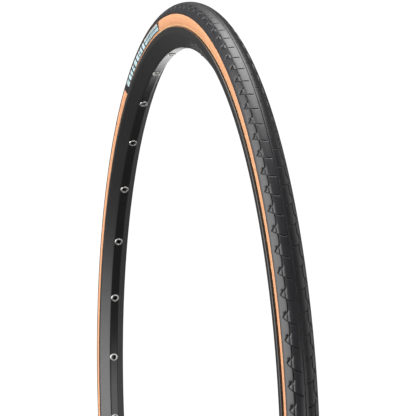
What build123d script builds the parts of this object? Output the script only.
from build123d import *
from build123d.topology import SkipClean
import os
from math import acos, asin, atan2, cos, degrees, hypot, radians, sin, sqrt

# A narrow road tyre, mounted and inflated on a box-section rim.
# Frame: the origin is the wheel's centre, Y is the axle and Z is up. The valve is at the bottom.
# Profiles are drawn flat with X as the distance from the axle and Y along the axle, then revolved.

# ---- rim: bead seat standard 622 mm, inner width 19.3 mm ----
SEAT_R = 311.0          # bead seat, which every other distance from the axle is counted from
FLANGE_RISE = 6.0       # top of the flanges, above the seat
KNEE_RISE = 0.6         # lower edge of the brake track
BED_DROP = 11.1         # spoke bed, the face that looks at the axle
WELL_DROP = 2.2         # floor of the well between the bead seats
INNER_HALF = 9.65       # half the width between the flange walls
FLANGE_WALL = 1.85
HOOK_R = 1.0            # bead hook, a round lip along the top of each flange
HOOK_REACH = 0.1        # how far the lip's centre stands in from the flange wall
BED_HALF = 3.7          # half the width of the spoke bed, up to its sharp corners
RIM_WALL = 1.3          # walls of the box
BED_WALL = 1.8          # wall that the eyelets grip
WELL_HALF = 4.8         # half the width of the well's floor
SEAT_SLOPE = 1.2        # how much wider the well is at the seats
EDGE_R = 1.6            # rounded edges of the spoke bed
SECTORS = 12            # the long rings' faces are split at these angles of the wheel
SECTOR_AT = 15.0

# ---- spoke holes ----
SPOKES = 32
EYELET_TUBE_R = 2.95    # outside of the eyelet's tube
EYELET_WALL = 0.7
EYELET_FLANGE = (0.75, 0.7)     # how far the flange stands out from the tube, and its thickness
EYELET_LIP = (0.3, 0.5)         # the same for the lip that is rolled over inside the box
EYELET_ROUND = 0.42     # rounded edge of the flange
ACCESS_R = 4.0          # holes in the well floor that the nipples drop through

# ---- tyre section ----
BODY_HALF = 11.15       # half the width over the sidewall skins
WIDEST_RISE = 13.8      # where the sidewalls are widest, above the bead seat
CROWN_FLATNESS = 1.05   # how much larger the crown's radius is than half the width
CROWN_LIFT = 2.0        # how far the crown arc's centre lies below the widest place
TREAD_OVER = 0.47       # how far the round tread stands out past the skins' width
TREAD_LIFT = 0.35       # the tread's centre, above the widest place
TREAD_EDGE = 77         # degrees from the crown to the edge of the tread
SKIN = 0.35             # gum skin on the sidewalls, and the rim strips below it
CASING = 0.8            # fabric casing
BELT = 0.5              # puncture belt
WIRE_R = 0.9            # bead wire
SKIN_TOP = 60           # degrees: the skin's edge, lapped by the tread
CHAFER_TOE = 215        # degrees round the bead where the rim strip ends
HOOK_GAP = 0.1          # between the tyre's throat and the rim's hook
SEAT_GAP = 0.05         # between the bead and its seat
CENTRE_LINE = (0.3, 0.3)        # half width and depth of the line along the crown
SHOULDER_LINE = (0.45, 0.7)     # half width and depth of the shoulder grooves
SHOULDER_ANGLE = 36.5           # degrees from the crown to the shoulder grooves

# ---- label on one sidewall ----
LABEL_START = 94.5              # degrees round the wheel
LABEL_SPAN = 26.5
LABEL_BAND = (80, 111)          # degrees round the section, from the patch's top edge to its lower one
LABEL_T = 0.12
MARK_T = 0.06
MARKS = 9
MARK_SHARE = 0.55               # how much of its step each mark fills
MARK_MARGIN = 3.0               # degrees of the section left bare above and below the marks
MARK_DROP = 3.0                 # the marks' tops step down by this, over a run of three

# ---- tube ----
TUBE_WALL = 0.9
TUBE_GAP = 0.2                  # between the tube and the casing, and between the tube and the tape
TUBE_DROP = 1.0                 # the round part's centre, below the tyre's widest place
TUBE_BEAD_GAP = 0.7             # between the tube's foot and the beads
TAPE = 0.5
TAPE_EDGE = 0.2                 # how much narrower than the well's floor the tape is, each side

# ---- valve, 48 mm long ----
VALVE_AT = 270
STEM_R = 3.0
STEM_LENGTH = 42.0              # from the base flange's top
STEM_NECK = (2.6, 7.2)          # radius and length of the thinner tip
STEM_BORE_R = 1.5
BASE_FLANGE = (0.8, 0.8)        # how far it stands out from the stem, and its thickness
FOOT = (7.0, 3.6)               # radius and height of the rubber foot
HOLE_GAP = 0.3                  # round the stem where it passes the rim and the tape
CORE_WALL = 0.6                 # stem's wall round the core
CORE_DEPTH = 9.0                # how far the core reaches down the stem
CORE_HEX = (4.6, 2.6)           # width across the flats and height of the core's collar
PIN_R = 0.95
PIN_TRAVEL = 2.0
PIN_END_ROOM = 0.5              # left beyond the seal when the pin is pressed home
PIN_TIP = 1.2                   # bare end of the pin above the nut
SEAL = (0.2, 1.2)               # gap round the pin's rubber seal, and its thickness
NUT = (2.1, 3.0)                # radius and height of the knurled tip nut
NUT_BACK = 0.8                  # left between the nut and the core when the pin is pressed home
NUT_FLUTES = (16, 0.25)         # number and radius
RUN = 0.05                      # running clearance of the valve's turning and sliding parts
RING = (2.6, 2.6)               # how far the lock ring stands out from the stem, and its thickness
RING_FLUTES = (24, 0.5)
RING_GAP = 0.15
NUT_CHAMFER = 0.3
PIN_CHAMFER = 0.3
CAP_GAP = 0.15                  # round the stem's neck
CAP_WALL = (1.0, 0.25)          # at the cap's mouth and at its closed end
CAP_ROOM = 1.0                  # between the pin's tip and the cap's roof
CAP_ROOF = 1.5
CAP_ROUND = 1.05
CAP_FLUTES = (8, 0.6, 0.25)     # number, radius and depth

# ---- rim joint ----
JOINT_AT = 90
SLEEVE_LENGTH = 40.0
SLEEVE_GAP = 0.08
SLEEVE_WALL = 1.5
SLEEVE_CLEAR = 0.5              # between the sleeve's ends and the eyelets' lips

CUT = 1.0                       # how far cutting tools run past what they cut

# ---- sizes that follow ----
FLANGE_R = SEAT_R + FLANGE_RISE
KNEE_R = SEAT_R + KNEE_RISE
BED_R = SEAT_R - BED_DROP
WELL_R = SEAT_R - WELL_DROP
OUTER_HALF = INNER_HALF + FLANGE_WALL
SEAT_HALF = WELL_HALF + SEAT_SLOPE
PITCH = 360 / SPOKES
EYELET_FLANGE_R = EYELET_TUBE_R + EYELET_FLANGE[0]
EYELET_LIP_R = EYELET_TUBE_R + EYELET_LIP[0]
WIDEST_R = SEAT_R + WIDEST_RISE
TREAD_R = BODY_HALF + TREAD_OVER
TREAD_CENTRE_R = WIDEST_R + TREAD_LIFT
CROWN_ARC = BODY_HALF + CROWN_FLATNESS
CROWN_R = WIDEST_R - CROWN_LIFT + CROWN_ARC


def ring(face, angle=360.0, start=0.0):
    """Revolve a flat profile round the axle, or through an arc that starts at an angle of the wheel."""
    solid = revolve(face, axis=Axis.Y, revolution_arc=angle)
    return Rot(0, -start - angle, 0) * solid if angle < 360 else solid


def long_ring(face):
    """A whole ring whose faces are split into sectors, so that thin walls stay true when they are meshed."""
    step = 360 / SECTORS
    with SkipClean():
        sectors = [ring(face, step, SECTOR_AT + i * step) for i in range(SECTORS)]
        return sectors[0].fuse(*sectors[1:])


def at_angle(solid, angle):
    """Stand a piece that was made along +Z (height = distance from the axle) at an angle of the wheel."""
    return Rot(0, 90 - angle, 0) * solid


def post(radius, low, high):
    """A round bar along a wheel radius, between two distances from the axle."""
    return Pos(0, 0, low) * Cylinder(radius, high - low, align=(Align.CENTER, Align.CENTER, Align.MIN))


def arc(centre, radius, start, end):
    return CenterArc(centre, radius, start, end - start)


# ---- the tyre's outline: arcs that share their tangents, so every layer is an exact offset ----
hook_r = FLANGE_R - HOOK_R
hook_y = INNER_HALF - HOOK_REACH
hook = (hook_r, hook_y)
throat = HOOK_R + HOOK_GAP
bead_radius = WIRE_R + CASING + SKIN
bead = (SEAT_R + SEAT_GAP + bead_radius, INNER_HALF - SEAT_GAP - bead_radius)

crown_centre = (CROWN_R - CROWN_ARC, 0.0)
shoulder_rise = WIDEST_R - crown_centre[0]
shoulder_arc = (CROWN_ARC**2 - shoulder_rise**2 - BODY_HALF**2) / (2 * (CROWN_ARC - BODY_HALF))
shoulder_centre = (WIDEST_R, BODY_HALF - shoulder_arc)
crown_end = degrees(atan2(shoulder_centre[1], shoulder_rise))

side_drop = hook_r - WIDEST_R
side_lift = hook_y - BODY_HALF
side_arc = (side_drop**2 + side_lift**2 - throat**2) / (2 * (throat - side_lift))
side_centre = (WIDEST_R, BODY_HALF - side_arc)
side_end = degrees(atan2(hook_y - side_centre[1], side_drop))

bead_span = hypot(hook[0] - bead[0], hook[1] - bead[1])
bead_lean = degrees(atan2(hook[1] - bead[1], hook[0] - bead[0]))
throat_end = bead_lean + degrees(acos((bead_radius + throat) / bead_span))


def on_arc(centre, radius, angle):
    return (centre[0] + radius * cos(radians(angle)), centre[1] + radius * sin(radians(angle)))


def wall_line(inset, start=0.0, end=270.0):
    """The tyre's outer line on the +Y side, moved inwards, from one normal angle to another.

    The crown, shoulder and side arcs bulge out, the throat hugs the hook, and the last arc rounds the bead.
    start and end are angles of the outward normal. An end above 200 goes on round the bead.
    """
    pieces = []
    spans = [
        (crown_centre, CROWN_ARC - inset, 0.0, crown_end),
        (shoulder_centre, shoulder_arc - inset, crown_end, 90.0),
        (side_centre, side_arc - inset, 90.0, side_end),
    ]
    for centre, radius, low, high in spans:
        low = max(low, start)
        if high > low and low < end:
            pieces.append(arc(centre, radius, low, min(high, end)))
    if end > side_end:
        pieces.append(arc(hook, throat + inset, side_end + 180, throat_end + 180))
        bead_line_top = on_arc(hook, throat + inset, throat_end + 180)
        pieces.append(Line(bead_line_top, on_arc(bead, bead_radius - inset, throat_end)))
        pieces.append(arc(bead, bead_radius - inset, throat_end, end))
    return pieces


def band(outer, inner, start, end):
    """The face between two offsets of the tyre's line."""
    top = wall_line(outer, start, end)
    low = wall_line(inner, start, end)
    sides = [Line(top[0] @ 0, low[0] @ 0), Line(top[-1] @ 1, low[-1] @ 1)]
    return make_face(Wire(top + low + sides).edges())


def mirrored(face):
    return face + mirror(face, about=Plane.XZ)


def body_face(inset):
    """Everything inside one offset of the tyre's line, closed across the bottom between the two throats."""
    right = wall_line(inset, 0.0, side_end)
    last = right[-1] @ 1
    left = [edge.mirror(Plane.XZ) for edge in right]
    return make_face(Wire(right + left + [Line(last, (last.X, -last.Y))]).edges())


# ---- tyre ----
def tread_cap():
    """Round black tread, feathered over the skins, with its long grooves."""
    edge = on_arc((TREAD_CENTRE_R, 0), TREAD_R, TREAD_EDGE)
    outline = [
        arc((TREAD_CENTRE_R, 0), TREAD_R, -TREAD_EDGE, TREAD_EDGE),
        Line(edge, (TREAD_CENTRE_R, 0)),
        Line((TREAD_CENTRE_R, 0), (edge[0], -edge[1])),
    ]
    face = make_face(Wire(outline).edges())
    face -= body_face(SKIN)
    face -= mirrored(band(0, SKIN, SKIN_TOP, side_end))
    face -= mirrored(band(SKIN - BELT, SKIN, 0, crown_end))
    for angle, (half, depth) in (
        (0, CENTRE_LINE),
        (SHOULDER_ANGLE, SHOULDER_LINE),
        (-SHOULDER_ANGLE, SHOULDER_LINE),
    ):
        spot = on_arc((TREAD_CENTRE_R, 0), TREAD_R, angle)
        face -= Pos(*spot) * Rot(0, 0, angle) * Rectangle(2 * depth, 2 * half)
    return long_ring(face)


def casing_ply():
    """Fabric from bead to bead, wrapped round both wires."""
    face = band(SKIN, SKIN + CASING, 0, 180)
    face += Pos(*bead) * Circle(WIRE_R + CASING)
    face -= Pos(*bead) * Circle(WIRE_R)
    return long_ring(mirrored(face))


def puncture_belt():
    return long_ring(mirrored(band(SKIN - BELT, SKIN, 0, crown_end)))


def one_side(face, side):
    """The +Y profile for the right side (+1), or its mirror for the left side (-1)."""
    return long_ring(face if side > 0 else mirror(face, about=Plane.XZ))


def sidewall_skin(side):
    return one_side(band(0, SKIN, SKIN_TOP, side_end), side)


def chafer_strip(side):
    """Rim strip: takes over from the skin at the throat and goes round the bead to its toe."""
    skin_face = band(0, SKIN, SKIN_TOP, side_end)
    return one_side(band(0, SKIN, SKIN_TOP, CHAFER_TOE) - skin_face, side)


def bead_wire(side):
    return one_side(Pos(*bead) * Circle(WIRE_R), side)


def label_band(low, high, bottom, top):
    """A thin face on the left side's skin, between two heights above it."""
    return mirror(band(-top, -bottom, low, high), about=Plane.XZ)


def label_patch():
    return ring(label_band(*LABEL_BAND, 0, LABEL_T), LABEL_SPAN, LABEL_START)


def label_marks():
    """Plain bars of three heights in turn on the patch."""
    step = LABEL_SPAN / (MARKS + 1)
    low, high = LABEL_BAND
    bars = []
    for i in range(MARKS):
        top = low + MARK_MARGIN + MARK_DROP * (i % 3) / 2
        face = label_band(top, high - MARK_MARGIN, LABEL_T, LABEL_T + MARK_T)
        bars.append(ring(face, step * MARK_SHARE, LABEL_START + step * (i + 1 - MARK_SHARE / 2)))
    return Compound(children=bars)


# ---- tube ----
tube_top_r = WIDEST_R - TUBE_DROP
tube_top = BODY_HALF - SKIN - CASING - TUBE_GAP
tube_foot = bead[1] - bead_radius - TUBE_BEAD_GAP
tube_foot_r = WELL_R + TAPE + TUBE_GAP + tube_foot
pad_top = tube_foot_r - tube_foot + TUBE_WALL + FOOT[1]
base_top = pad_top + BASE_FLANGE[1]


def egg(inset):
    """The tube's section: a round part in the tyre and a small one between the beads, joined by tangents."""
    top_r, foot_r = tube_top_r, tube_foot_r
    top = tube_top - inset
    foot = tube_foot - inset
    lean = 90 + degrees(asin((top - foot) / (top_r - foot_r)))
    upper = on_arc((top_r, 0), top, lean)
    lower = on_arc((foot_r, 0), foot, lean)
    outline = [
        arc((top_r, 0), top, -lean, lean),
        Line(upper, lower),
        arc((foot_r, 0), foot, lean, 360 - lean),
        Line((lower[0], -lower[1]), (upper[0], -upper[1])),
    ]
    return make_face(Wire(outline).edges())


def inner_tube():
    tube = long_ring(egg(0) - egg(TUBE_WALL))
    with SkipClean():
        return tube - at_angle(post(STEM_R, WELL_R, base_top), VALVE_AT)


def valve_foot():
    """Rubber pad inside the tube, shaped by the tube's own wall, with the stem moulded through it."""
    pad = at_angle(post(FOOT[0], WELL_R, pad_top), VALVE_AT)
    pad &= ring(egg(TUBE_WALL))
    return pad - at_angle(post(STEM_R, WELL_R, base_top), VALVE_AT)


# ---- rim ----
def rim_face():
    """Box section with hooked flanges. The outer facets lean in from the brake tracks to the spoke bed."""
    flank = [
        (BED_R, -BED_HALF),
        (BED_R, BED_HALF),
        (KNEE_R, OUTER_HALF),
        (hook_r, OUTER_HALF),
        (hook_r, -OUTER_HALF),
        (KNEE_R, -OUTER_HALF),
    ]
    outer = make_face(Polyline(*flank, close=True))
    bed_corners = outer.vertices().sort_by(Axis.X)[:2]
    outer = fillet(bed_corners, EDGE_R)
    well = [
        (WELL_R, WELL_HALF),
        (SEAT_R, SEAT_HALF),
        (SEAT_R, INNER_HALF),
        (FLANGE_R + HOOK_R, INNER_HALF),
    ]
    well += [(r, -y) for r, y in reversed(well)]
    face = outer - make_face(Polyline(*well, close=True))
    lip = OUTER_HALF - HOOK_R
    top = Pos(*hook) * Circle(HOOK_R)
    top += Pos(hook_r, lip) * Circle(HOOK_R)
    top += Pos(hook_r, (hook_y + lip) / 2) * Rectangle(2 * HOOK_R, lip - hook_y)
    face += mirrored(top)
    return face - box_face(0)


def box_face(inset):
    """The hollow of the box, and with an inset what slides into it."""
    slope = (OUTER_HALF - BED_HALF) / (KNEE_R - BED_R)
    wall = RIM_WALL * sqrt(1 + slope**2)
    low = BED_R + BED_WALL
    high = SEAT_R - RIM_WALL
    half_low = BED_HALF + slope * (low - BED_R) - wall
    half_high = BED_HALF + slope * (high - BED_R) - wall
    floor = WELL_R - RIM_WALL
    hollow = [
        (low, half_low),
        (high, half_high),
        (high, SEAT_HALF),
        (floor, WELL_HALF),
    ]
    hollow += [(r, -y) for r, y in reversed(hollow)]
    face = make_face(Polyline(*hollow, close=True))
    return offset(face, -inset) if inset else face


def spoke_angles():
    """The valve sits half way between two spoke holes."""
    return [VALVE_AT + PITCH * (i + 0.5) for i in range(SPOKES)]


def rim():
    body = long_ring(rim_face())
    bed_hole = post(EYELET_TUBE_R, BED_R - CUT, BED_R + BED_WALL + CUT)
    access = post(ACCESS_R, WELL_R - RIM_WALL - CUT, WELL_R + CUT)
    holes = [at_angle(tool, a) for a in spoke_angles() for tool in (bed_hole, access)]
    holes.append(at_angle(post(STEM_R + HOLE_GAP, BED_R - CUT, WELL_R + CUT), VALVE_AT))
    with SkipClean():
        return body - holes


def rim_eyelets():
    """One eyelet in each spoke hole: flange on the spoke bed, tube through it, lip rolled over inside."""
    seat = sqrt(BED_R**2 - EYELET_FLANGE_R**2)
    face = seat - EYELET_FLANGE[1]
    inside = BED_R + BED_WALL
    end = inside + EYELET_LIP[1]
    flange = post(EYELET_FLANGE_R, face, seat)
    eyelet = fillet(flange.edges().sort_by(Axis.Z)[0], EYELET_ROUND)
    eyelet += post(EYELET_TUBE_R, face, end)
    eyelet += post(EYELET_LIP_R, inside, end)
    eyelet -= post(EYELET_TUBE_R - EYELET_WALL, face - CUT, end + CUT)
    return Compound(children=[at_angle(eyelet, a) for a in spoke_angles()])


def rim_joint_sleeve():
    """Hollow plug that lines up the rim's two ends inside the box."""
    face = box_face(SLEEVE_GAP) - box_face(SLEEVE_GAP + SLEEVE_WALL)
    span = degrees(SLEEVE_LENGTH / BED_R)
    span = min(span, PITCH - degrees(2 * (EYELET_LIP_R + SLEEVE_CLEAR) / BED_R))
    return ring(face, span, JOINT_AT - span / 2)


def rim_tape():
    face = Pos(WELL_R + TAPE / 2, 0) * Rectangle(TAPE, 2 * (WELL_HALF - TAPE_EDGE))
    hole = at_angle(post(STEM_R + HOLE_GAP, WELL_R - CUT, WELL_R + TAPE + CUT), VALVE_AT)
    with SkipClean():
        return long_ring(face) - hole


# ---- valve: heights are distances from the axle, so the tip is the smallest ----
stem_tip = base_top - STEM_LENGTH
core_r = STEM_NECK[0] - CORE_WALL
core_end = stem_tip + CORE_DEPTH
collar_top = stem_tip - CORE_HEX[1]
nut_low = collar_top - NUT_BACK - PIN_TRAVEL - NUT[1]
pin_tip = nut_low - PIN_TIP
seal_end = core_end + SEAL[1]
cap_mouth = stem_tip + STEM_NECK[1] - 2 * CAP_GAP
cap_top = pin_tip - CAP_ROOM - CAP_ROOF


def valve_stem():
    neck_r, neck = STEM_NECK
    stem = post(STEM_R, stem_tip + neck, base_top) + post(neck_r, stem_tip, base_top)
    stem += post(STEM_R + BASE_FLANGE[0], pad_top, base_top)
    stem -= post(STEM_BORE_R, stem_tip - CUT, base_top + CUT)
    stem -= post(core_r, stem_tip - CUT, seal_end + PIN_TRAVEL + PIN_END_ROOM)
    return at_angle(stem, VALVE_AT)


def valve_core():
    """Brass core: a plug in the stem with a collar that has two flats for a key."""
    neck_r = STEM_NECK[0]
    collar = post(neck_r, collar_top, stem_tip)
    flats = Pos(0, 0, collar_top) * Box(
        CORE_HEX[0], 2 * STEM_R, CORE_HEX[1], align=(Align.CENTER, Align.CENTER, Align.MIN)
    )
    core = (collar & flats) + post(core_r, stem_tip, core_end)
    core -= post(PIN_R + RUN, collar_top - CUT, core_end + CUT)
    return at_angle(core, VALVE_AT)


def valve_pin():
    pin = post(PIN_R, pin_tip, seal_end)
    pin = chamfer(pin.edges().sort_by(Axis.Z)[0], PIN_CHAMFER)
    return at_angle(pin, VALVE_AT)


def valve_pin_seal():
    seal = post(core_r - SEAL[0], core_end, seal_end) - post(PIN_R, core_end - CUT, seal_end + CUT)
    return at_angle(seal, VALVE_AT)


def fluted(radius, bore, low, high, flutes):
    """A round nut with a ring of shallow flutes for the fingers."""
    count, flute_r = flutes
    body = post(radius, low, high)
    body = chamfer(body.edges().filter_by(GeomType.CIRCLE), NUT_CHAMFER)
    flute = Pos(radius + flute_r / 2, 0, 0) * post(flute_r, low - CUT, high + CUT)
    body -= [Rot(0, 0, 360 * i / count) * flute for i in range(count)]
    return body - post(bore, low - CUT, high + CUT)


def valve_tip_nut():
    """Backed off from the core by more than the pin's travel, as when the valve is open for a pump."""
    return at_angle(fluted(NUT[0], PIN_R + RUN, nut_low, nut_low + NUT[1], NUT_FLUTES), VALVE_AT)


def valve_lock_ring():
    high = BED_R - RING_GAP
    nut = fluted(STEM_R + RING[0], STEM_R + RUN, high - RING[1], high, RING_FLUTES)
    return at_angle(nut, VALVE_AT)


def valve_cap():
    """Thin plastic cap over the neck, the core, the nut and the pin."""
    bore = STEM_NECK[0] + CAP_GAP
    wide, narrow = (bore + wall for wall in CAP_WALL)
    shell = Pos(0, 0, (cap_top + cap_mouth) / 2) * Cone(narrow, wide, cap_mouth - cap_top)
    shell = fillet(shell.edges().sort_by(Axis.Z)[0], CAP_ROUND)
    count, flute_r, depth = CAP_FLUTES
    flute = Pos(wide + flute_r - depth, 0, 0) * post(flute_r, cap_top, cap_mouth + CUT)
    shell -= [Rot(0, 0, 360 * i / count) * flute for i in range(count)]
    return at_angle(shell - post(bore, cap_top + CAP_ROOF, cap_mouth + CUT), VALVE_AT)


parts = {
    "tread_cap": tread_cap,
    "puncture_belt": puncture_belt,
    "casing_ply": casing_ply,
    "sidewall_skin_right": lambda: sidewall_skin(1),
    "sidewall_skin_left": lambda: sidewall_skin(-1),
    "chafer_strip_right": lambda: chafer_strip(1),
    "chafer_strip_left": lambda: chafer_strip(-1),
    "bead_wire_right": lambda: bead_wire(1),
    "bead_wire_left": lambda: bead_wire(-1),
    "label_patch": label_patch,
    "label_marks": label_marks,
    "inner_tube": inner_tube,
    "valve_foot": valve_foot,
    "rim": rim,
    "rim_eyelets": rim_eyelets,
    "rim_joint_sleeve": rim_joint_sleeve,
    "rim_tape": rim_tape,
    "valve_stem": valve_stem,
    "valve_core": valve_core,
    "valve_pin": valve_pin,
    "valve_pin_seal": valve_pin_seal,
    "valve_tip_nut": valve_tip_nut,
    "valve_lock_ring": valve_lock_ring,
    "valve_cap": valve_cap,
}

os.makedirs("parts", exist_ok=True)
for name, make in parts.items():
    piece = make()
    piece.label = name
    export_step(piece, f"parts/{name}.step")
    print(f"{name}: {len(piece.solids())} solid(s), {piece.volume / 1000:.2f} cm3")
